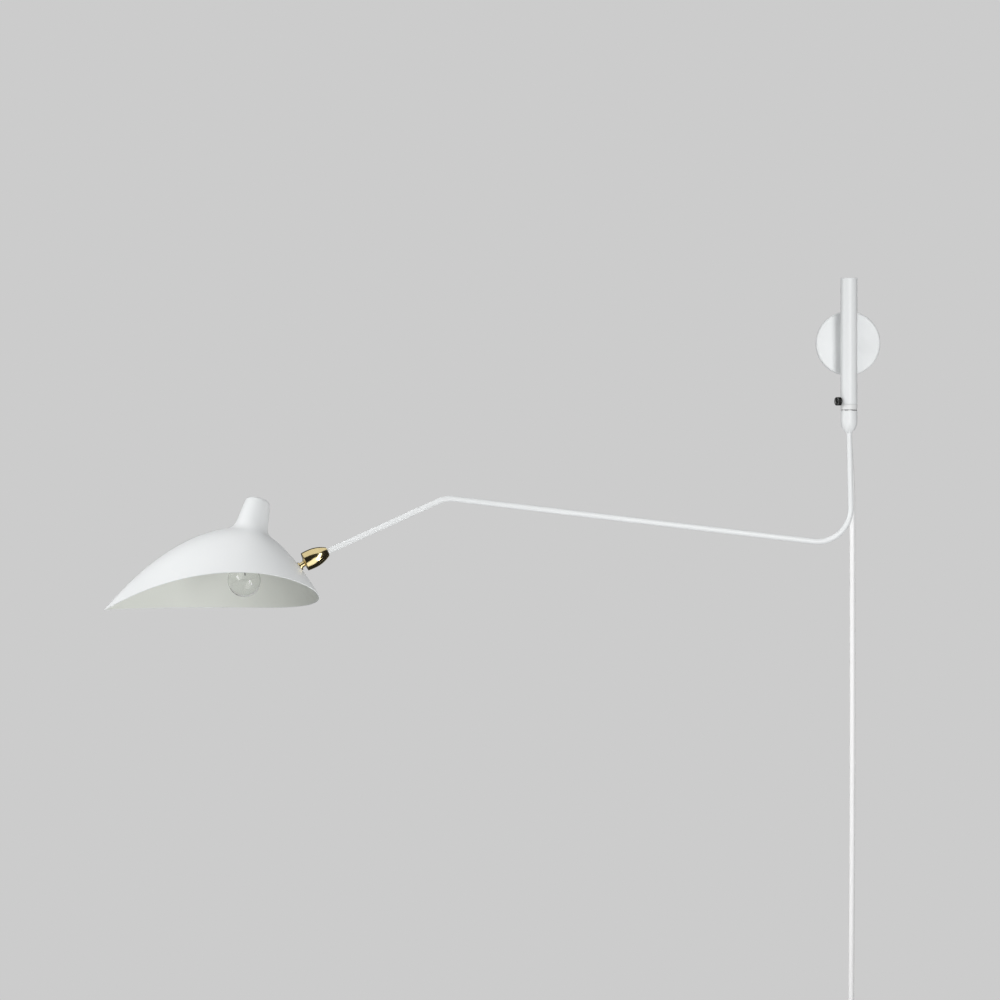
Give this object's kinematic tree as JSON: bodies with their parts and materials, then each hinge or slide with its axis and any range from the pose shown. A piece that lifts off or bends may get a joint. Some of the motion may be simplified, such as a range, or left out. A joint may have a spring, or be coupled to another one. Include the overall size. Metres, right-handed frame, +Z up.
{
  "type": "plug-in wall lamp",
  "caption": "Wall lamp with a round canopy and pole, a long bent arm that swings, a ball swivel carrying a visor shade, and a hanging cord with a plug.",
  "frame": {"origin": "middle of the canopy's back face, on the wall", "axes": "+X right along the wall as the lamp is faced, +Y into the wall, +Z up"},
  "size_m": [0.9771, 0.2376, 1.1397],
  "materials": {
    "white_paint": "satin white enamel",
    "steel": "plain zinc-plated steel",
    "polished_steel": "polished nickel",
    "brass": "polished brass",
    "white_plastic": "moulded, semi-gloss",
    "cord_sheath": "smooth flexible sheath",
    "clear_glass": "clear blown glass",
    "cap_metal": "plain rolled metal"
  },
  "bodies": {
    "wall_mount": {"back_plate": "steel", "canopy": "white_paint", "canopy_screws": "steel", "neck": "white_paint", "neck_washer": "steel", "neck_nut": "steel", "pole": "white_paint", "pole_cap": "white_paint", "upper_bush": "white_plastic", "lower_bush": "white_plastic", "pole_lead": "cord_sheath", "terminal_block": "white_plastic", "terminal_screws": "steel", "cord_gland": "white_plastic", "gland_nut": "white_plastic", "cord_inner": "cord_sheath", "cord_drop": "cord_sheath", "cord_coil": "cord_sheath", "coil_tie": "white_plastic", "cord_tail": "cord_sheath", "plug_body": "white_plastic", "plug_pins": "polished_steel"},
    "clamp": {"clamp_screw": "polished_steel"},
    "arm": {"spindle": "steel", "spindle_clip": "steel", "thrust_washer": "steel", "ferrule": "white_paint", "arm_tube": "white_paint", "arm_lead": "cord_sheath", "arm_collar": "steel"},
    "swivel": {"swivel_body": "brass", "swivel_ring": "brass", "ball_cup": "white_plastic", "spring_washer": "steel"},
    "stud": {"ball_stud": "brass", "stud_washer": "steel", "stud_nut": "steel"},
    "shade_head": {"shade": "white_paint", "chimney": "white_paint", "crown_ring": "steel", "holder_body": "white_plastic", "holder_shell": "brass", "holder_contact": "brass", "holder_nipple": "steel", "shade_lead": "cord_sheath"},
    "bulb": {"bulb_glass": "clear_glass", "bulb_cap": "cap_metal", "bulb_contact": "brass", "filament": "clear_glass"}
  },
  "joints": [
    {"name": "arm_swing", "type": "hinge", "parent": "wall_mount", "child": "arm", "pos_m": [0, -0.0445, 0], "axis": [0, 0, 1], "range_deg": [-4, 166]},
    {"name": "clamp_turn", "type": "hinge", "parent": "wall_mount", "child": "clamp", "pos_m": [0, -0.0445, -0.0727], "axis": [-0.866, -0.5, 0], "range_deg": [-720, 20]},
    {"name": "swivel_turn", "type": "hinge", "parent": "arm", "child": "swivel", "pos_m": [-0.67064, -0.13875, -0.26968], "axis": [-0.9029, -0.1269, -0.4107], "range_deg": [-170, 170]},
    {"name": "shade_tilt", "type": "hinge", "parent": "swivel", "child": "stud", "pos_m": [-0.67064, -0.13875, -0.26968], "axis": [0.0639, -0.9844, 0.1637], "range_deg": [-36.5, 13]},
    {"name": "shade_roll", "type": "hinge", "parent": "stud", "child": "shade_head", "pos_m": [-0.67064, -0.13875, -0.26968], "axis": [-0.7977, -0.1489, -0.5843], "range_deg": [-170, 170]},
    {"name": "bulb_turn", "type": "hinge", "parent": "shade_head", "child": "bulb", "pos_m": [-0.75054, -0.1451, -0.29459], "axis": [0.1271, 0.245, 0.9612], "range_deg": [-1080, 0]}
  ]
}
